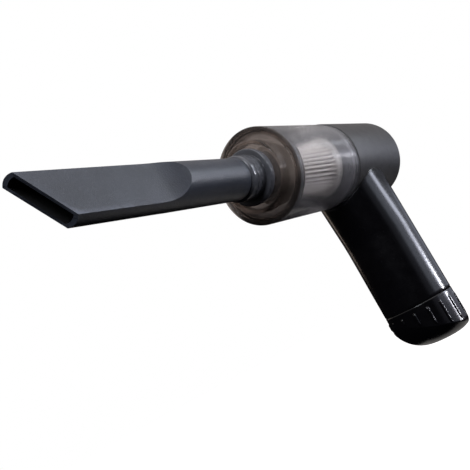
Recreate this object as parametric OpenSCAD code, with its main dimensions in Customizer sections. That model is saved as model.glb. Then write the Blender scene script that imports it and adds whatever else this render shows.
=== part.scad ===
// Handheld vacuum cleaner in a pistol layout.
// A clear dust cup and a motor housing share one horizontal barrel, a round battery handle
// hangs square below the housing, and a crevice nozzle plugs into the neck of the cup's cover.
// The origin is the centre of the grip, on the handle's axis. The nozzle points along -X.

/* [Barrel] */
// Outer radius of the dust cup
cup_r = 30.8; // [30:0.1:31.2]
// Outer radius of the motor housing
housing_r = 31.2; // [31:0.1:32]
// Distance from the cup's front rim to the seam with the housing
cup_len = 81.5; // [80:0.5:86]
// Length of the motor housing
housing_len = 74.5; // [72:0.5:80]
// Wall thickness of the dust cup
cup_wall = 2.2; // [2:0.1:2.6]

/* [Front cover and neck] */
// Radius of the raised boss on the front cover
boss_r = 22.8; // [22:0.1:24.5]
// How far the boss stands in front of the rim
boss_h = 6.6; // [6.2:0.1:9]
// Outer radius of the inlet neck
neck_r = 14; // [13.8:0.1:15]
// How far the neck's front edge stands in front of the rim
neck_reach = 23.5; // [21:0.5:26]
// Inner radius of the neck, where attachments plug in
neck_bore_r = 11.5; // [11.2:0.1:11.8]

/* [Crevice nozzle] */
// Tube radius at the shoulder that meets the neck
tube_r_rear = 12.7; // [12.5:0.1:13]
// Tube radius at the front, which is also half the blade's height
tube_r_front = 13.1; // [13:0.1:14]
// Thickness of the flat blade
blade_t = 10.4; // [9:0.1:12]
// Distance from the rim to the middle of the slanted mouth
nozzle_reach = 156; // [150:1:180]
// Distance from the rim to the front end of the scoops
scoop_reach = 93.5; // [92:0.5:110]
// Radius of the scoop between tube and blade
scoop_r = 28; // [20:0.5:32]
// Slant of the mouth, measured from square
mouth_slant = 39; // [30:1:50]
// Turn of the blade from upright
blade_turn = 7; // [0:0.5:10]
// Rise of the nozzle towards its mouth
nozzle_rise = 1.1; // [0:0.1:1.2]

/* [Handle] */
// Outer radius of the handle
handle_r = 25.9; // [25.5:0.1:26.5]
// Wall thickness of the handle
handle_wall = 2.2; // [2:0.1:2.4]
// Distance from the cup seam to the handle's axis
handle_back = 26; // [25.9:0.1:30]
// Drop from the barrel's axis to the seam of the end cap
cap_seam_drop = 117.7; // [114:0.1:124]
// Height of the end cap below its seam
cap_h = 30.4; // [29:0.1:34]
// How far the cap's swept side is turned from straight ahead
cap_turn = 30; // [0:5:40]
// Forward lean of the blend under the barrel
flare_angle = 7; // [4:0.5:8]
// Number of grip ribs on the end cap
rib_count = 16; // [12:1:20]

/* [Filter] */
// Number of pleats
pleat_count = 40; // [24:1:48]
// Outer radius of the pleats
pleat_r = 19.6; // [18:0.1:20]

/* [Hidden] */

$fn = 96;
run_gap = 0.08;                 // radial clearance of the sliding and turning fits
air_gap = 0.3;                  // space between pieces that move past each other
grip_drop = 88;                 // from the barrel's axis down to the origin
barrel_len = cup_len + housing_len;
handle_x = cup_len + handle_back;
cup_bore_r = cup_r - cup_wall;
plug_r = cup_bore_r - run_gap;  // spigots that enter the cup
handle_bore_r = handle_r - handle_wall;

// Cover and cup
lip_back = 1.4;
lip_front = -0.6;
skirt_end = 9;
skirt_wall = 2;
cover_wall = 2.2;
seat_r = 16.4;                  // the part of the neck that sits in the cover
neck_back = 4;
collar_r = 17.6;
collar_t = 4;
throat_r = 10.2;
throat_front = -10.4;

// Nozzle
nozzle_wall = 1.7;
duct_r = 9.8;
spigot_end = -11;

// Flap hinge, in the neck's rear chamber
chamber_r = 13.6;
seat_back = -9.2;
flap_t = 1.5;
flap_r = 11.6;
flap_pin_r = 0.7;
flap_pin_len = 15.2;
knuckle_r = 1.35;
knuckle_w = 8;
flap_hinge_h = 11.2;
flap_hinge_x = -7.8;

// Filter stations behind the rim
filter_front = 17.5;
filter_back = 66;
spigot_front = filter_back + air_gap;
plate_front = 73;
filter_spigot_r = 15.5;
intake_r = 13.5;

// Motor stations behind the rim
shroud_front = 88;
shroud_back = 104;
shroud_r = 24;
can_r = 17.2;
can_front = 105.2;
can_back = 138;
shaft_r = 1.5;
wheel_r = 20.8;

// Rear cover
rear_face = barrel_len - 0.8;
rear_window_r = 26.6;
screw_ring = 22.6;

// Handle stations, measured down from the barrel's axis
button_drop = 71;
button_half = 5;
button_r = 6.7;
port_drop = 42.9;
port_h = 3.2;
port_flat = 2.9;                // half the flat part of the socket's width
lens_drop = 54;
lens_r = 1.5;
board_drop = 46;
board_r = 21.5;
wire_hole_r = 21.5;
cell_top = 55;
cell_len = 65;
cell_r = 9.2;
cell_pitch = 18.6;
cell_ring = cell_pitch / sqrt(3);

// End cap
skirt_up = 8;
cap_gap = 0.2;
cap_bore_r = 21.4;
cap_floor = 13;                 // height of the inner floor above the foot
cap_pocket_r = 14;
cap_groove = 3.5;               // height of the seal's groove above the seam
cap_groove_w = 1.8;
cap_back_round = 7.8;
cap_front_round = 24;
cap_shift = 6.5;
rib_w = 1.7;
rib_out = 0.7;
rib_low = 6;
rib_high = 4.5;

// Turns a shape's own +Z into +X along the barrel, measured from the cup's front rim.
// The shape's own -X then points up.
module on_barrel() {
    translate([-handle_x, 0, grip_drop]) rotate([0, 90, 0]) children();
}

// Handle pieces are measured from the barrel's axis, so drops are negative heights.
module on_handle() {
    translate([0, 0, grip_drop]) children();
}

// The power button is at the back, under the thumb. Its pieces are drawn facing -X.
module at_button() {
    translate([0, 0, -button_drop]) rotate(180) children();
}

// A ring or tube from station a to station b.
module ring(outer, inner, a, b) {
    translate([0, 0, a]) difference() {
        cylinder(h = b - a, r = outer);
        translate([0, 0, -1]) cylinder(h = b - a + 2, r = inner);
    }
}

// A plain disc or rod from station a to station b.
module rod(r, a, b) {
    translate([0, 0, a]) cylinder(h = b - a, r = r);
}

// The waste outside a rounded corner, to be cut from a profile. The corner lies at [x, y],
// and sx, sy say which way the body lies from it.
module corner_cut(x, y, r, sx, sy) {
    difference() {
        translate([x - (sx < 0 ? r : 0.5), y - (sy < 0 ? r : 0.5)]) square(r + 0.5);
        translate([x + sx * r, y + sy * r]) circle(r = r);
    }
}

// A bar with round ends that lies along X, half as long as half plus its radius, upright in Z.
module upright_slot(r, half, a, b) {
    for (s = [-1, 1]) translate([a, 0, s * half]) rotate([0, 90, 0]) cylinder(h = b - a, r = r);
    translate([a, -r, -half]) cube([b - a, 2 * r, 2 * half]);
}

// ---- crevice nozzle ----

// The blade stands turned in the neck, and everything ahead of the shoulder rises a little.
module in_nozzle() {
    translate([0, 0, -neck_reach]) rotate([0, nozzle_rise, 0]) rotate(-blade_turn)
        translate([0, 0, neck_reach]) children();
}

// The waste at both sides of the flat blade, ending in the rounded scoops.
module blade_waste() {
    flat = nozzle_reach + 40 - scoop_reach;
    for (s = [-1, 1]) {
        translate([-30, s > 0 ? blade_t / 2 : -blade_t / 2 - 30, -nozzle_reach - 40])
            cube([60, 30, flat]);
        translate([-30, s * (blade_t / 2 + scoop_r), -scoop_reach])
            rotate([0, 90, 0]) cylinder(h = 60, r = scoop_r);
    }
}

// Tube and blade, cut square where they meet the neck.
module nozzle_body(shoulder) {
    intersection() {
        in_nozzle() difference() {
            union() {
                translate([0, 0, -scoop_reach])
                    cylinder(h = scoop_reach + shoulder + 2, r1 = tube_r_front, r2 = tube_r_rear);
                rod(tube_r_front, -nozzle_reach - 20, -scoop_reach);
            }
            blade_waste();
        }
        rod(40, -nozzle_reach - 40, shoulder);
    }
}

// A slot through the blade that opens into the tube's round bore.
module nozzle_duct() {
    slot_back = -scoop_reach + 24;
    slot_t = blade_t - 2 * nozzle_wall;
    intersection() {
        rod(tube_r_front - nozzle_wall, -nozzle_reach - 30, slot_back);
        translate([-20, -slot_t / 2, -nozzle_reach - 31])
            cube([40, slot_t, nozzle_reach + 31 + slot_back]);
    }
    rod(duct_r, -scoop_reach + 20, -neck_reach);
}

module crevice_nozzle() {
    shoulder = -neck_reach - air_gap;
    color("#33363d") on_barrel() difference() {
        union() {
            nozzle_body(shoulder);
            rod(neck_bore_r - 0.05, shoulder - 1, spigot_end);
        }
        in_nozzle() {
            nozzle_duct();
            // Slanted mouth, longer at the top
            translate([0, 0, -nozzle_reach]) rotate([0, mouth_slant, 0])
                translate([-60, -30, -60]) cube([120, 60, 60]);
        }
        rod(duct_r, -neck_reach - 2, 0);
    }
}

// ---- cover, neck and flap ----

module inlet_neck() {
    lip = 2.4;
    color("#2c2f36") on_barrel() difference() {
        rotate_extrude() difference() {
            union() {
                translate([0, -neck_reach]) square([neck_r, neck_reach - boss_h]);
                translate([0, -boss_h - collar_t]) square([collar_r, collar_t]);
                translate([0, -boss_h]) square([seat_r, boss_h + neck_back]);
            }
            corner_cut(neck_r, -neck_reach, lip, -1, 1);
            corner_cut(collar_r, -boss_h - collar_t, 1, -1, 1);
        }
        rod(neck_bore_r, -neck_reach - 1, throat_front);
        rod(throat_r, throat_front - 0.1, seat_back + 0.1);
        rod(chamber_r, seat_back, neck_back + 1);
        translate([-flap_hinge_h, 0, flap_hinge_x]) rotate([90, 0, 0])
            cylinder(h = flap_pin_len + 0.2, r = flap_pin_r, center = true);
    }
}

module flap_pin() {
    color("silver") on_barrel() translate([-flap_hinge_h, 0, flap_hinge_x])
        rotate([90, 0, 0]) cylinder(h = flap_pin_len, r = flap_pin_r, center = true);
}

module inlet_flap() {
    color("#1d1e20") on_barrel() difference() {
        union() {
            intersection() {
                rod(flap_r, seat_back + 0.12, seat_back + 0.12 + flap_t);
                translate([-10.4, -15, -20]) cube([30, 30, 30]);
            }
            intersection() {
                translate([-flap_hinge_h, 0, flap_hinge_x]) rotate([90, 0, 0])
                    cylinder(h = knuckle_w, r = knuckle_r, center = true);
                rod(13, -10, 0);
            }
            translate([-flap_hinge_h, -knuckle_w / 2, seat_back + 0.12])
                cube([3, knuckle_w, flap_t]);
        }
        translate([-flap_hinge_h, 0, flap_hinge_x]) rotate([90, 0, 0])
            cylinder(h = knuckle_w + 1, r = flap_pin_r + 0.05, center = true);
    }
}

module front_cover() {
    hole_r = seat_r + 0.05;
    color("#8a827c", 0.5) on_barrel() rotate_extrude() difference() {
        union() {
            translate([hole_r, -boss_h]) square([boss_r - hole_r, boss_h + 2]);
            translate([boss_r - 1, 0]) square([plug_r - boss_r + 1, 2]);
            translate([plug_r - 1, lip_front]) square([cup_r - plug_r + 1, lip_back - lip_front]);
            translate([plug_r - skirt_wall, 1]) square([skirt_wall, skirt_end - 1]);
        }
        translate([hole_r - 1, cover_wall - boss_h])
            square([boss_r - cover_wall - hole_r + 1, boss_h + 2]);
        // Groove for the seal
        translate([plug_r - 0.9, 5]) square([2, 2]);
        corner_cut(boss_r, -boss_h, 1.6, -1, 1);
        corner_cut(cup_r, lip_front, 0.8, -1, 1);
        corner_cut(cup_r, lip_back, 0.4, -1, -1);
    }
}

module cover_seal() {
    color("#222222") on_barrel() ring(plug_r, plug_r - 0.85, 5.1, 6.9);
}

module dust_cup() {
    color("#9a9a9e", 0.4) on_barrel() rotate_extrude() difference() {
        translate([cup_bore_r, lip_back + air_gap])
            square([cup_wall, cup_len - air_gap - lip_back - air_gap]);
        corner_cut(cup_r, lip_back + air_gap, 0.4, -1, 1);
        corner_cut(cup_r, cup_len - air_gap, 0.6, -1, -1);
    }
}

// ---- filter ----

module filter_front_cap() {
    color("#e4e1da") on_barrel() difference() {
        rotate_extrude() difference() {
            translate([0, filter_front]) square([pleat_r + 1, 4]);
            corner_cut(pleat_r + 1, filter_front, 1.2, -1, 1);
        }
        rod(8, filter_front - 1, filter_front + 1.2);
    }
}

// The star outline of the folded paper, one outer and one inner corner per pleat face.
function pleat_points(outer, inner) = [
    for (i = [0 : 2 * pleat_count - 1])
        let (r = i % 2 == 0 ? outer : inner, a = i * 180 / pleat_count)
        [r * cos(a), r * sin(a)]
];

module filter_media() {
    color("#cfc6ba") on_barrel() translate([0, 0, filter_front + 4])
        linear_extrude(filter_back - filter_front - 4) difference() {
            polygon(pleat_points(pleat_r, pleat_r - 4));
            circle(r = pleat_r - 4.9);
        }
}

module filter_cage() {
    cage_r = pleat_r - 4.9;
    color("#e4e1da") on_barrel() difference() {
        ring(cage_r, cage_r - 1.1, filter_front + 4, filter_back);
        for (row = [0 : 2], k = [0 : 3])
            translate([0, 0, filter_front + 8 + 12 * row]) rotate(k * 45)
                translate([-30, -3.4, 0]) cube([60, 6.8, 8.5]);
    }
}

module filter_rear_ring() {
    color("#d9d5cd") on_barrel() rotate_extrude() difference() {
        translate([filter_spigot_r + run_gap, filter_back])
            square([pleat_r + 1.8 - filter_spigot_r - run_gap, 5]);
        corner_cut(pleat_r + 1.8, filter_back, 0.8, -1, 1);
        corner_cut(pleat_r + 1.8, filter_back + 5, 0.8, -1, -1);
    }
}

module filter_gasket() {
    color("#303030") on_barrel()
        ring(pleat_r + 0.8, filter_spigot_r + 0.6, filter_back + 5, plate_front - 0.1);
}

// ---- bulkhead and housing ----

module bulkhead() {
    color("#2b2c30") on_barrel() difference() {
        union() {
            ring(plug_r, plug_r - 2.1, plate_front, cup_len + 8.5);
            ring(plug_r - 1, intake_r, plate_front, plate_front + 2.5);
            ring(filter_spigot_r, intake_r, spigot_front, plate_front + 1);
            for (k = [0 : 2]) rotate(k * 60)
                translate([-intake_r - 0.5, -0.9, plate_front]) cube([2 * intake_r + 1, 1.8, 2.5]);
            rod(4, plate_front, plate_front + 2.5);
        }
        ring(plug_r + 1, plug_r - 1, cup_len - 4.5, cup_len - 2.5);
    }
}

module cup_seal() {
    color("#1c1c1c") on_barrel() ring(plug_r + 0.03, plug_r - 1, cup_len - 4.5, cup_len - 2.5);
}

module motor_housing() {
    color("#4a4a4c") difference() {
        on_barrel() rotate_extrude() difference() {
            translate([cup_bore_r, cup_len]) square([housing_r - cup_bore_r, housing_len]);
            corner_cut(housing_r, barrel_len, 2.4, -1, -1);
            corner_cut(housing_r, cup_len, 0.5, -1, 1);
        }
        on_handle() translate([0, 0, -50]) cylinder(h = 50, r = wire_hole_r);
    }
    color("#4a4a4c") on_barrel()
        ring(cup_bore_r + 0.2, rear_window_r, barrel_len - 2.6, barrel_len - 0.4);
}

module rear_cover() {
    back = barrel_len - 2.7;
    color("#3a3a3c") on_barrel() difference() {
        union() {
            rod(cup_bore_r - 0.2, back - 2.4, back);
            rod(rear_window_r - 0.2, back - 0.5, rear_face);
        }
        for (k = [0 : 23]) rotate(k * 15) translate([9, -0.9, back - 3]) cube([10, 1.8, 8]);
        for (k = [0 : 3]) rotate(45 + k * 90) translate([screw_ring, 0, back - 3])
            cylinder(h = 8, r = 1.1);
        for (k = [0 : 3]) rotate(45 + k * 90) translate([screw_ring, 0, rear_face - 1])
            cylinder(h = 2, r = 2.1);
    }
}

module rear_screws() {
    color("silver") on_barrel() for (k = [0 : 3]) rotate(45 + k * 90) translate([screw_ring, 0, 0])
        difference() {
            union() {
                rod(1.05, barrel_len - 9, rear_face - 0.9);
                rod(1.9, rear_face - 1, rear_face - 0.1);
            }
            translate([-0.3, -1.3, rear_face - 0.6]) cube([0.6, 2.6, 1]);
            translate([-1.3, -0.3, rear_face - 0.6]) cube([2.6, 0.6, 1]);
        }
}

module exhaust_foam() {
    color("#1a1a1a") on_barrel() rod(cup_bore_r - 0.3, barrel_len - 13.5, barrel_len - 9.2);
}

// ---- motor and fan ----

module fan_shroud() {
    color("#d8d8d4") on_barrel() rotate_extrude() difference() {
        union() {
            translate([11, shroud_front]) square([shroud_r - 11, 1.6]);
            translate([shroud_r - 1.6, shroud_front]) square([1.6, shroud_back - shroud_front]);
            translate([10, shroud_front - 4]) square([1.6, 5.6]);
        }
        corner_cut(shroud_r, shroud_front, 1.2, -1, 1);
    }
}

module shroud_seal() {
    color("#202020") on_barrel() ring(cup_bore_r - 0.1, shroud_r + 0.02, 93, 98);
}

module impeller() {
    blades = 9;
    hub_r = 5;
    color("#b8babd") on_barrel() difference() {
        union() {
            rod(wheel_r, 99, 100.4);
            rod(hub_r, 91, 101.5);
            for (k = [0 : blades - 1]) rotate(k * 360 / blades)
                translate([hub_r - 1, 0, 92]) rotate(24)
                    cube([wheel_r - hub_r - 1.4, 1, 7.5]);
        }
        rod(shaft_r, 90, 103);
    }
}

module motor_shaft() {
    color("silver") on_barrel() rod(shaft_r, 90.5, can_back + 3);
}

module motor_can() {
    color("#9fa2a6") on_barrel() difference() {
        rotate_extrude() difference() {
            translate([0, can_front]) square([can_r, can_back - can_front]);
            corner_cut(can_r, can_front, 1.5, -1, 1);
            corner_cut(can_r, can_back, 1.5, -1, -1);
        }
        rod(can_r - 1.4, can_front + 3.2, can_back - 3.2);
        rod(2.4, can_front - 1, can_back + 1);
        rod(4.5, can_front - 1, can_front + 2);
        rod(4.5, can_back - 2, can_back + 1);
    }
}

module motor_bearings() {
    color("silver") on_barrel() {
        ring(4.5, shaft_r + 0.03, can_front, can_front + 2);
        ring(4.5, shaft_r + 0.03, can_back - 2, can_back);
    }
}

module motor_bracket() {
    color("#c9c9c5") on_barrel() difference() {
        rod(shroud_r, shroud_back - 1.4, shroud_back + 1.1);
        rod(5.6, shroud_back - 2, shroud_back + 2);
        for (k = [0 : 7]) rotate(k * 45) translate([12, -3, shroud_back - 2]) cube([8, 6, 5]);
        ring(shroud_r + 1, shroud_r - 1.6, shroud_back - 2, shroud_back);
    }
}

module motor_mount_rear() {
    color("#202020") on_barrel() difference() {
        ring(cup_bore_r - 0.1, can_r, 128, 132);
        for (k = [0 : 3]) rotate(45 + k * 90) translate([19.5, -9, 127]) cube([6, 18, 6]);
    }
}

// ---- handle ----

// The closed outer shape of the handle, with its forward blend under the barrel.
module handle_outer() {
    difference() {
        union() {
            translate([0, 0, -cap_seam_drop]) cylinder(h = cap_seam_drop - 12, r = handle_r);
            intersection() {
                translate([0, 0, -64]) rotate([0, -flare_angle, 0])
                    translate([0, 0, -8]) cylinder(h = 66, r = handle_r - 0.25);
                translate([-60, -40, -80]) cube([60, 80, 68]);
            }
        }
        // The barrel, and room for the cup to come off
        translate([-handle_x, 0, 0]) rotate([0, 90, 0]) cylinder(h = barrel_len, r = housing_r);
        translate([-handle_x, 0, 0]) rotate([0, 90, 0])
            cylinder(h = cup_len + 0.4, r = cup_r + 0.6);
    }
}

module handle_shell() {
    color("#141416") on_handle() difference() {
        handle_outer();
        translate([0, 0, -cap_seam_drop - 1]) cylinder(h = cap_seam_drop, r = handle_bore_r);
        at_button() upright_slot(button_r + air_gap, button_half, -40, -15);
        // Window for the charging socket, in the back of the wall
        for (s = [-1, 1]) translate([20, s * port_flat, -port_drop]) rotate([0, 90, 0])
            cylinder(h = 10, r = port_h / 2 + 0.3);
        translate([20, -port_flat, -port_drop - port_h / 2 - 0.3])
            cube([10, 2 * port_flat, port_h + 0.6]);
        // Status light below the socket
        translate([20, 0, -lens_drop]) rotate([0, 90, 0]) cylinder(h = 10, r = lens_r + 0.05);
    }
}

module power_button() {
    color("#1b1b1e") on_handle() at_button() {
        intersection() {
            upright_slot(button_r, button_half, -handle_r - 3, -21);
            cylinder(h = 40, r = handle_r + 1.1, center = true);
        }
        intersection() {
            upright_slot(button_r + 1.4, button_half, -21.8, -20.5);
            cylinder(h = 40, r = handle_bore_r - 0.4, center = true);
        }
    }
}

module switch_board() {
    color("#1d5b3a") on_handle() at_button() translate([-16.5, -8.5, -11]) cube([1.6, 17, 22]);
}

module tact_switch() {
    color("#2a2a2a") on_handle() at_button() {
        translate([-18.5, -3, -3]) cube([2, 6, 6]);
        translate([-18.9, 0, 0]) rotate([0, 90, 0]) cylinder(h = 1, r = 1.6);
    }
}

module control_board() {
    color("#1d5b3a") on_handle() intersection() {
        translate([0, 0, -board_drop]) cylinder(h = 1.4, r = board_r);
        translate([-14, -16, -board_drop - 1]) cube([40, 32, 4]);
    }
}

// A flat tube with round sides, from a to b along X.
module port_bar(r, a, b) {
    for (s = [-1, 1]) translate([a, s * port_flat, -port_drop]) rotate([0, 90, 0])
        cylinder(h = b - a, r = r);
    translate([a, -port_flat, -port_drop - r]) cube([b - a, 2 * port_flat, 2 * r]);
}

module charge_port() {
    color("silver") on_handle() {
        difference() {
            port_bar(port_h / 2, 17.6, 25);
            port_bar(port_h / 2 - 0.35, 18.6, 26);
        }
        translate([18, -port_flat, -port_drop - 0.35]) cube([6, 2 * port_flat, 0.7]);
    }
}

module status_lens() {
    color("white") on_handle() translate([22.4, 0, -lens_drop]) rotate([0, 90, 0])
        cylinder(h = handle_r - 22.45, r = lens_r);
}

// ---- battery ----

module cell(k) {
    color("#2f6fb0") on_handle() rotate(180 + 120 * k)
        translate([cell_ring, 0, -cell_top - cell_len]) {
            cylinder(h = cell_len - 1, r = cell_r);
            cylinder(h = cell_len, r = 3);
        }
}

module battery_cell_1() { cell(0); }
module battery_cell_2() { cell(1); }
module battery_cell_3() { cell(2); }

// A plate with three pockets, cut straight at the back to stay clear of the switch board.
module holder(r, top) {
    color("#d9a441") on_handle() rotate(180) difference() {
        translate([0, 0, -top - 5]) cylinder(h = 5, r = r);
        for (k = [0 : 2]) rotate(120 * k) translate([cell_ring, 0, -top - 6])
            cylinder(h = 7, r = cell_r + 0.05);
        translate([-40, -40, -top - 6]) cube([26, 80, 8]);
    }
}

module battery_holder_upper() { holder(22.6, cell_top + 3); }
module battery_holder_lower() { holder(20.8, cell_top + cell_len - 7); }

module battery_links() {
    color("silver") on_handle() rotate(180) {
        translate([-9.5, -13, -cell_top]) cube([8, 26, 0.3]);
        rotate(-120) translate([-9.5, -13, -cell_top - cell_len - 0.3]) cube([8, 26, 0.3]);
    }
}

// ---- end cap ----

// The cap's outer shape grown by extra. Its foot is rounded all round, and a second, wider
// rounding that lies off centre takes one side away in a long sweep.
module cap_body(extra) {
    foot = -cap_seam_drop - cap_h - extra / 2;
    tall = cap_h + extra / 2 - cap_gap;
    intersection() {
        rotate_extrude() difference() {
            translate([0, foot]) square([handle_r + extra, tall]);
            corner_cut(handle_r + extra, foot, cap_back_round, -1, 1);
            corner_cut(handle_r + extra, foot + tall, 0.6, -1, -1);
        }
        rotate(-cap_turn) translate([cap_shift, 0, 0]) rotate_extrude() difference() {
            translate([0, foot]) square([handle_r + cap_shift + extra, tall + 1]);
            corner_cut(handle_r + cap_shift + extra, foot, cap_front_round, -1, 1);
        }
    }
}

module end_cap() {
    bottom = -cap_seam_drop - cap_h;
    color("#141416") on_handle() difference() {
        union() {
            cap_body(0);
            intersection() {
                cap_body(rib_out);
                for (k = [0 : rib_count - 1]) rotate((k + 0.5) * 360 / rib_count)
                    translate([15, -rib_w / 2, bottom + rib_low])
                        cube([20, rib_w, cap_h - rib_low - rib_high]);
            }
            ring(handle_bore_r - run_gap, cap_bore_r, -cap_seam_drop - 1,
                -cap_seam_drop + skirt_up);
        }
        translate([0, 0, bottom + cap_floor]) cylinder(h = cap_h, r = cap_bore_r);
        translate([0, 0, bottom + rib_low]) cylinder(h = cap_h, r = cap_pocket_r);
        ring(handle_bore_r + 1, handle_bore_r - 1, -cap_seam_drop + cap_groove,
            -cap_seam_drop + cap_groove + cap_groove_w);
    }
}

module cap_seal() {
    color("#303030") on_handle()
        ring(handle_bore_r - 0.05, handle_bore_r - 0.95, -cap_seam_drop + cap_groove + 0.1,
            -cap_seam_drop + cap_groove + cap_groove_w - 0.1);
}

crevice_nozzle();
inlet_neck();
inlet_flap();
flap_pin();
front_cover();
cover_seal();
dust_cup();
cup_seal();
filter_front_cap();
filter_media();
filter_cage();
filter_rear_ring();
filter_gasket();
bulkhead();
motor_housing();
fan_shroud();
shroud_seal();
impeller();
motor_shaft();
motor_can();
motor_bracket();
motor_bearings();
motor_mount_rear();
rear_cover();
exhaust_foam();
rear_screws();
handle_shell();
power_button();
switch_board();
tact_switch();
control_board();
charge_port();
status_lens();
battery_cell_1();
battery_cell_2();
battery_cell_3();
battery_holder_upper();
battery_holder_lower();
battery_links();
end_cap();
cap_seal();
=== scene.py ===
"""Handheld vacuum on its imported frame.

The visible shells are rebuilt here with rounded edges, folded paper and grip ribs. The inner
parts keep their CAD meshes and get procedural finishes. Lengths in the builders are in
millimetres; stations run along the barrel from the cup's front rim towards the rear.
"""

import math
import random

import bmesh
import bpy
from mathutils import Matrix, Vector


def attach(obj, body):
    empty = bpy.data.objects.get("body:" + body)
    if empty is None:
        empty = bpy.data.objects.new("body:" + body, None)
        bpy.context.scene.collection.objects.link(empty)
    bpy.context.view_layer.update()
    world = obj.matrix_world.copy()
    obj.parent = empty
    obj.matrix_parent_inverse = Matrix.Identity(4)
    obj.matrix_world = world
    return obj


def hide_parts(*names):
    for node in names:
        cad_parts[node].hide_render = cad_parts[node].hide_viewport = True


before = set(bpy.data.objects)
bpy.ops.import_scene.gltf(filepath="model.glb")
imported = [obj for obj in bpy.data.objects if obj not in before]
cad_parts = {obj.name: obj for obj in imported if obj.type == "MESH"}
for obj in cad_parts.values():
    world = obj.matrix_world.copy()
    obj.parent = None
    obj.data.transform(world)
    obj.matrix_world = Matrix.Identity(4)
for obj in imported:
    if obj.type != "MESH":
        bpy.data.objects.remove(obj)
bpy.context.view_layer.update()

MM = 0.001
RIM_X = -107.5          # the cup's front rim, from the handle's axis
AXIS_Z = 88.0           # the barrel's axis, above the origin
HOUSING_R = 31.2
HANDLE_R = 25.9
HANDLE_BORE = 23.7
SEAM_Z = -29.7          # seam between handle and end cap
CAP_FOOT = -60.1
PLEATS = 40
PLEAT_OUT = 19.6
PLEAT_IN = 15.6
PAPER_CORE = 14.75
PAPER_FRONT = 21.5
PAPER_BACK = 66.0
FILLET_STEPS = 5
BARREL_SEGMENTS = 144
OUTER_SEGMENTS = 192    # for the cup and housing, whose outlines show most


# ---- geometry helpers ----

def on_barrel(station, side, up):
    """A point from its station and its offsets across the barrel, in metres."""
    return Vector(((station + RIM_X) * MM, side * MM, (up + AXIS_Z) * MM))


def arc_between(centre, start, stop, steps):
    """Points on the short arc round centre from start to stop."""
    first = start - centre
    last = stop - centre
    a = math.atan2(first.y, first.x)
    turn = math.atan2(last.y, last.x) - a
    turn = (turn + math.pi) % (2 * math.pi) - math.pi
    radius = first.length
    points = []
    for k in range(steps + 1):
        at = a + turn * k / steps
        points.append(centre + Vector((math.cos(at), math.sin(at))) * radius)
    return points


def rounded(corners):
    """A closed profile of (station, radius, fillet) corners with its fillets drawn as arcs."""
    outline = []
    count = len(corners)
    for i, (x, y, fillet) in enumerate(corners):
        corner = Vector((x, y))
        if fillet <= 0:
            outline.append(corner)
            continue
        before = (Vector(corners[i - 1][:2]) - corner).normalized()
        after = (Vector(corners[(i + 1) % count][:2]) - corner).normalized()
        half = before.angle(after) / 2
        reach = fillet / math.tan(half)
        centre = corner + (before + after).normalized() * (fillet / math.sin(half))
        outline += arc_between(centre, corner + before * reach, corner + after * reach,
                               FILLET_STEPS)
    return outline


def add_loops(bm, loops, close_chain):
    """Skins a chain of equal closed loops of points with quads."""
    rings = [[bm.verts.new(p) for p in loop] for loop in loops]
    pairs = list(zip(rings, rings[1:]))
    if close_chain:
        pairs.append((rings[-1], rings[0]))
    for lower, upper in pairs:
        for i in range(len(lower)):
            j = (i + 1) % len(lower)
            bm.faces.new((lower[i], lower[j], upper[j], upper[i]))
    return rings


def add_lathe(bm, profile, segments):
    """Revolves a closed profile of (station, radius) points round the barrel's axis."""
    loops = []
    for k in range(segments):
        turn = 2 * math.pi * k / segments
        loops.append([on_barrel(p.x, p.y * math.sin(turn), p.y * math.cos(turn)) for p in profile])
    add_loops(bm, loops, True)


def cleaned(bm):
    """Merges doubled points, drops what collapsed and turns the faces outwards."""
    bmesh.ops.remove_doubles(bm, verts=bm.verts, dist=2e-6)
    bmesh.ops.dissolve_degenerate(bm, edges=bm.edges, dist=1e-6)
    bmesh.ops.recalc_face_normals(bm, faces=bm.faces)


def bevel(piece, width, segments, angle):
    """Rounds the piece's sharp edges, with shading that keeps its flats flat."""
    mod = piece.modifiers.new("edges", "BEVEL")
    mod.width = width * MM
    mod.segments = segments
    mod.limit_method = "ANGLE"
    mod.angle_limit = math.radians(angle)
    mod.harden_normals = True


def object_from(bm, name):
    """Turns a finished bmesh into an object of the scene."""
    mesh = bpy.data.meshes.new(name)
    bm.to_mesh(mesh)
    bm.free()
    made = bpy.data.objects.new(name, mesh)
    bpy.context.scene.collection.objects.link(made)
    return made


def piece_from(bm, name, material, body, stands_for, sharp=38):
    """Makes a piece from a finished mesh, hangs it on its body and hides the CAD nodes it stands for.
    """
    cleaned(bm)
    piece = object_from(bm, name)
    mesh = piece.data
    mesh.polygons.foreach_set("use_smooth", [True] * len(mesh.polygons))
    mesh.set_sharp_from_angle(angle=math.radians(sharp))
    mesh.materials.append(material)
    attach(piece, body)
    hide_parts(*stands_for)
    return piece


def lathe(name, corners, material, body, stands_for, segments=BARREL_SEGMENTS):
    """One revolved piece of the barrel."""
    bm = bmesh.new()
    add_lathe(bm, rounded(corners), segments)
    return piece_from(bm, name, material, body, stands_for)


def softened(node, material, body, width):
    """A copy of a CAD node with its flat faces joined and its edges rounded."""
    bm = bmesh.new()
    bm.from_mesh(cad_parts[node].data)
    bmesh.ops.remove_doubles(bm, verts=bm.verts, dist=1e-6)
    bmesh.ops.dissolve_limit(bm, angle_limit=math.radians(0.6), verts=bm.verts, edges=bm.edges)
    piece = piece_from(bm, node + "_finished", material, body, [node])
    bevel(piece, width, 2, 40)
    return piece


# ---- material helpers ----

NOISE_LOW = 0.3
NOISE_HIGH = 0.7
CLOUD_LOW = 0.32
CLOUD_HIGH = 0.68
WEAR_RANGE = (-1.9, 2.3)        # puts a flat face at 0.2 and a sharp edge above 1


def new_finish(name):
    """An empty Principled material, its node tree, shader and object coordinates."""
    mat = bpy.data.materials.new(name)
    mat.use_nodes = True
    tree = mat.node_tree
    shader = next(n for n in tree.nodes if n.type == "BSDF_PRINCIPLED")
    coord = tree.nodes.new("ShaderNodeTexCoord")
    return mat, tree, shader, coord.outputs["Object"]


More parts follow.
